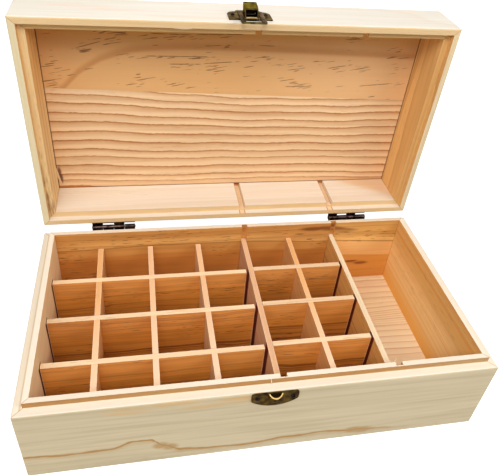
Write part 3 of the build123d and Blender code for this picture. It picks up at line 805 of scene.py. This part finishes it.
def worn_metal(name, deep, bright, metallic=1.0, roughness=0.4, edge=(176, 158, 116), inside=None, highlit_rim=None,
               dark_side=None, screws=None):
    """Plated steel: the dark plating rubbed through in patches, duller where it is dark. inside masks what lies in
    shadow, painted dark; highlit_rim marks a painted highlight along an edge. dark_side is a direction whose
    faces get painted shade; screws names the nails with a dark ring round them."""
    material, tree, shader = new_material(name)
    coordinates = node(tree, "TexCoord").outputs["Object"]
    patch = ramp(tree, noise(tree, coordinates, 260, 4), [(0.36, 0), (0.66, 1)])
    scratch = noise(tree, coordinates, (900, 2600, 2600), 2)
    rubbed = times(tree, patch, ramp(tree, scratch, [(0.2, 0.7), (0.7, 1.0)]))
    colour = mix(tree, rubbed, srgb(*deep), srgb(*bright))
    if dark_side:
        # painted shade on the faces turned towards the given side
        colour = stain(tree, colour, (40, 27, 18), facing(tree, dark_side), 0.85)
    if screws:
        low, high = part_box(screws)
        middle = (low + high) / 2
        radius = (high.z - low.z) / 2 if screws == "catch_nails" else (high.y - low.y) / 2
        for x in (low.x + radius, high.x - radius):
            # a dark ring round each nail
            nail_ring = use(tree, soft_spot, Vector=coordinates, Centre=(x, middle.y, middle.z), Size=nail_ring_size)[0]
            colour = stain(tree, colour, (24, 18, 14), nail_ring, 0.75)
    # painted highlight along the edge that the mask marks
    if highlit_rim:
        colour = stain(tree, colour, (236, 196, 126), highlit_rim(tree, coordinates))
    tint, shine = srgb(*edge), metallic
    if inside:
        shadow = inside(tree, coordinates)
        colour = stain(tree, colour, shadow_black, shadow)
        tint = stain(tree, tint, shadow_black, shadow)
        shine = math(tree, "MAXIMUM", shadow, metallic)
    feed(tree, shader.inputs["Specular Tint"], tint)
    feed(tree, shader.inputs["Metallic"], shine)
    tree.links.new(colour, shader.inputs["Base Color"])
    tree.links.new(sloped(tree, rubbed, -duller, roughness + duller / 2), shader.inputs["Roughness"])
    roughen(tree, shader, scratch, strength=0.12, distance=0.0001)
    return material


def on_lid_face(tree, coordinates):
    """How far a point lies to the side of the latch, up the lid's front face from its rim, and out from it."""
    across, height, depth = parts(tree, laid_out(tree, coordinates, lid_face, right_x, lid_up))
    return math(tree, "ABSOLUTE", across), height, depth


def in_channel(tree, coordinates):
    """1 on the inside of the folded lever: between its cheeks and below its sloping front."""
    aside, height, depth = on_lid_face(tree, coordinates)
    bend_height, bend_depth, upper_slope, lower_slope = 0.0070, 0.0079, 0.211, 1.432
    above = less(tree, height, bend_height)
    front = math(tree, "MINIMUM", times(tree, above, upper_slope), times(tree, above, lower_slope))
    below = less(tree, depth, math(tree, "ADD", front, bend_depth))
    return times(tree, rise(tree, aside, 0.0048, 0.0046), rise(tree, below, -0.0002, -0.0004))


def under_lever(tree, coordinates):
    """1 on the plate where the lever stands over it."""
    aside, height, _ = on_lid_face(tree, coordinates)
    return times(tree, rise(tree, aside, 0.0052, 0.0046), rise(tree, height, 0.0045, 0.0055),
                 rise(tree, height, 0.0165, 0.0155))


def knuckle_highlight(tree, coordinates):
    """1 along the front of the tab that is rolled round the lever's pin, where a highlight is painted."""
    aside, height, depth = on_lid_face(tree, coordinates)
    return times(tree, rise(tree, aside, 0.0048, 0.0044), rise(tree, depth, 0.0012, 0.0018),
                 near(tree, height, 0.0040, 0.0006, 0.0006), 0.8)


def pocket_rim(tree, coordinates):
    """1 on the upper edge of the catch's pocket, which stands clear of its plate, where a highlight is painted."""
    across, depth, _ = parts(tree, coordinates)
    middle = rise(tree, math(tree, "ABSOLUTE", across), 0.0068, 0.0062)
    clear = rise(tree, depth, front_y - 0.0010, front_y - 0.0016)
    return times(tree, facing(tree, up_z), middle, clear, 0.45)


dress(worn_metal("antique bronze", (64, 56, 26), (122, 109, 58), metallic=0.85, edge=(150, 132, 86)), "latch_loop")
dress(worn_metal("antique bronze of the catch", (40, 29, 14), (98, 80, 42), metallic=0.85, edge=(150, 128, 80),
                 highlit_rim=pocket_rim, screws="catch_nails"), "latch_catch")
dress(worn_metal("antique bronze of the plate", (68, 60, 30), (124, 113, 62), metallic=0.9, edge=(150, 138, 90),
                 inside=under_lever, highlit_rim=knuckle_highlight, dark_side=-lid_up * 1.4,
                 screws="latch_plate_nails"), "latch_plate")
lever_bronze = worn_metal("antique bronze of the lever", (70, 60, 26), (150, 132, 68), roughness=0.34,
                          inside=in_channel, dark_side=-lid_up * 1.8)
dress(lever_bronze, "latch_lever")
dress(worn_metal("dark hinge bronze", (30, 20, 18), (92, 74, 68), roughness=0.3, edge=(120, 104, 98)),
      *[name for name in nodes if name.startswith(("left_hinge", "right_hinge"))])
dress(worn_metal("dark nail steel", (22, 20, 22), (62, 60, 66), roughness=0.32, edge=(90, 90, 100)),
      "latch_plate_nails", "catch_nails", "hinge_base_screws", "hinge_lid_screws")
dress(worn_metal("rubbed pin", (190, 168, 150), (240, 226, 214), roughness=0.28, edge=(255, 240, 230)),
      "latch_lever_pin")

# Small rounds on the edges of the latch, so that they catch the light
for name in ("latch_plate", "latch_loop", "latch_catch", "latch_lever"):
    weld = nodes[name].modifiers.new("weld", "WELD")
    weld.merge_threshold = 0.00001
    bevel = nodes[name].modifiers.new("soft edges", "BEVEL")
    bevel.width = fitting_round
    bevel.segments = 2
    bevel.limit_method = "ANGLE"
    bevel.angle_limit = radians(35)


# Splinters that the saw left on the rims and beside the grooves, and the folded end of the lever

splinter_pine = pine("torn splinter", right_x, up_z, (0, 0, 0), (252, 226, 184), (226, 178, 124), box=cad_box, late=0.3)


def add_piece(name, points, faces, material, body):
    """A new piece made from points and faces, riding on a body."""
    mesh = bpy.data.meshes.new(name)
    mesh.from_pydata(points.tolist(), [], faces)
    mesh.materials.append(material)
    made = in_scene(name, mesh)
    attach(made, body)
    return made


def splinter(name, body, foot, tip, bow, width, thickness):
    """A torn sliver. Along it u runs from foot to tip on a straight line bowed by bow * sin(pi u). Its section
    is a flat ellipse, width by thickness, scaled by sin(pi u) to the power 0.45, so both ends close to points."""
    foot, tip, bow = (np.array(place) for place in (foot, tip, bow))
    steps, around = 13, 8
    u = np.linspace(0, 1, steps)[:, None, None]
    angle = np.linspace(0, 2 * np.pi, around, endpoint=False)[None, :, None]
    along = (tip - foot) / np.linalg.norm(tip - foot)
    side = np.cross(along, (0.3, 1.0, 0.2))
    side = side / np.linalg.norm(side)
    flat = np.cross(along, side)
    middle = foot + (tip - foot) * u + bow * np.sin(np.pi * u)
    size = np.sin(np.pi * np.clip(u, 0.02, 0.98)) ** 0.45
    skin = middle + size * (width / 2 * np.cos(angle) * side + thickness / 2 * np.sin(angle) * flat)
    points = np.vstack((skin.reshape(-1, 3), foot[None], tip[None]))
    row, column = np.meshgrid(np.arange(steps - 1), np.arange(around), indexing="ij")
    here, beside = row * around + column, row * around + (column + 1) % around
    quads = np.stack((here, beside, beside + around, here + around), axis=-1).reshape(-1, 4)
    ring = np.arange(around)
    last = (steps - 1) * around
    foot_cap = np.stack((np.full(around, steps * around), (ring + 1) % around, ring), axis=-1)
    tip_cap = np.stack((np.full(around, steps * around + 1), last + ring, last + (ring + 1) % around), axis=-1)
    add_piece(name, points, quads.tolist() + foot_cap.tolist() + tip_cap.tolist(), splinter_pine, body)


splinter("splinter_front_lip_centre", "base", in_base(-2.6, -83.0, 74.4), in_base(-2.0, -83.5, 69.8),
         bow=(0, -0.0004, 0), width=0.0009, thickness=0.0004)
splinter("splinter_front_lip_end", "base", in_base(86.6, -79.2, 72.6), in_base(87.2, -78.6, 78.0),
         bow=(0.0002, 0, 0), width=0.0008, thickness=0.0003)
splinter("splinter_back_lip", "base", in_base(-82.4, 80.4, 74.5), in_base(-83.2, 82.6, 74.6),
         bow=(0, 0, 0.00005), width=0.0003, thickness=0.0007)
splinter("splinter_lid_corner", "lid", in_lid(-155.1, 37, 38.6), in_lid(-152.2, 20, 38.9),
         bow=(-0.0004, -0.0006, 0), width=0.0022, thickness=0.0006)
splinter("splinter_lid_rim", "lid", in_lid(-56.0, 177.4, 0.45), in_lid(-43.0, 177.3, 0.4),
         bow=(0, 0, -0.0002), width=0.0009, thickness=0.0004)


def fold_end(name, foot, tip, half, bow, thickness):
    """The end of the lever's sheet, folded in between its cheeks: foot and tip are (height, depth) on the face
    of the lid in millimetres. The sheet is a grid over across and along, bowed by bow * sin(pi along)."""
    columns, rows = 7, 9
    across, along = np.meshgrid(np.linspace(-half, half, columns), np.linspace(0, 1, rows), indexing="ij")
    height = foot[0] + (tip[0] - foot[0]) * along + bow * np.sin(np.pi * along)
    depth = foot[1] + (tip[1] - foot[1]) * along
    steps = ((across, right_x), (height, lid_up), (depth, lid_out))
    points = np.array(lid_face) + sum(np.multiply.outer(step, np.array(way)) for step, way in steps) / 1000
    column, row = np.meshgrid(np.arange(columns - 1), np.arange(rows - 1), indexing="ij")
    here = column * rows + row
    quads = np.stack((here, here + 1, here + rows + 1, here + rows), axis=-1).reshape(-1, 4)
    made = add_piece(name, points.reshape(-1, 3), quads.tolist(), lever_bronze, "latch_lever")
    sheet = made.modifiers.new("sheet", "SOLIDIFY")
    sheet.thickness = thickness / 1000
    sheet.offset = 0


fold_end("lever_end_fold", (12.9, 2.0), (14.9, 8.3), half=4.2, bow=0.25, thickness=0.5)


# Floor, light and camera

def seen_by_eye(tree):
    """1 for what the camera sees directly, in metal or through glass, and 0 for light on the object."""
    path = node(tree, "LightPath").outputs
    return math(tree, "ADD", math(tree, "ADD", path["Is Camera Ray"], path["Is Glossy Ray"]),
                path["Is Transmission Ray"], clamp=True)


floor_grey, floor_glow = 0.45, 0.82
floor_half, floor_drop = 3, 0.0002
floor_mesh = bpy.data.meshes.new("floor")
corners = [(x * floor_half, y * floor_half, 0) for x, y in ((-1, -1), (1, -1), (1, 1), (-1, 1))]
floor_mesh.from_pydata(corners, [], [(0, 1, 2, 3)])
floor = in_scene("floor", floor_mesh)
floor.location.z = -floor_drop
floor_finish, floor_tree, floor_shader = new_material("white floor")
floor_shader.inputs["Base Color"].default_value = (floor_grey, floor_grey, floor_grey, 1)
floor_shader.inputs["Roughness"].default_value = 0.9
floor_shader.inputs["Emission Color"].default_value = (1, 1, 1, 1)
floor_tree.links.new(times(floor_tree, seen_by_eye(floor_tree), floor_glow), floor_shader.inputs["Emission Strength"])
floor_mesh.materials.append(floor_finish)

room_light = 0.28
world = bpy.data.worlds.new("room")
bpy.context.scene.world = world
world.use_nodes = True
room = world.node_tree
background = room.nodes["Background"]
room.links.new(sloped(room, seen_by_eye(room), 1 - room_light, room_light), background.inputs["Strength"])
background.inputs["Color"].default_value = (1, 1, 1, 1)


softbox_size = 0.7
box_middle = (0, 0, 0.08)


def lamp(name, place, target, watts):
    """A round softbox that looks at a target."""
    data = bpy.data.lights.new(name, "AREA")
    data.shape = "DISK"
    data.size = softbox_size
    data.energy = watts
    made = in_scene(name, data)
    made.location = place
    made.rotation_euler = (Vector(target) - Vector(place)).to_track_quat("-Z", "Y").to_euler()


lamp("main softbox", (-0.2, -0.75, 1.15), box_middle, 10.2)
lamp("left softbox", (-0.9, -0.6, 0.9), box_middle, 5.0)
lamp("right softbox", (0.9, -0.6, 0.9), box_middle, 7.0)
lamp("rear softbox", (0.2, 1.5, 0.32), (0, 0, 0.12), 9.0)

# The camera stands close over the front left, turned a little on its own axis
image_width, image_height = 500, 476
focal_pixels = 554.63
view_centre = (256.42, 217.33)
camera_place = (-0.08039, -0.30096, 0.38142)
camera_yaw, camera_pitch, camera_roll = radians(14.249), radians(-37.114), radians(6.383)
camera_data = bpy.data.cameras.new("camera")
camera = in_scene("camera", camera_data)
turn = Matrix.Rotation(-camera_yaw, 4, "Z") @ Matrix.Rotation(radians(90) + camera_pitch, 4, "X")
camera.matrix_world = Matrix.Translation(camera_place) @ turn @ Matrix.Rotation(camera_roll, 4, "Z")
camera_data.sensor_width = 36
camera_data.lens = focal_pixels / image_width * camera_data.sensor_width
camera_data.shift_x = (image_width / 2 - view_centre[0]) / image_width
camera_data.shift_y = (view_centre[1] - image_height / 2) / image_width
camera_data.clip_start = 0.01
bpy.context.scene.camera = camera
bpy.context.scene.view_settings.view_transform = "Standard"
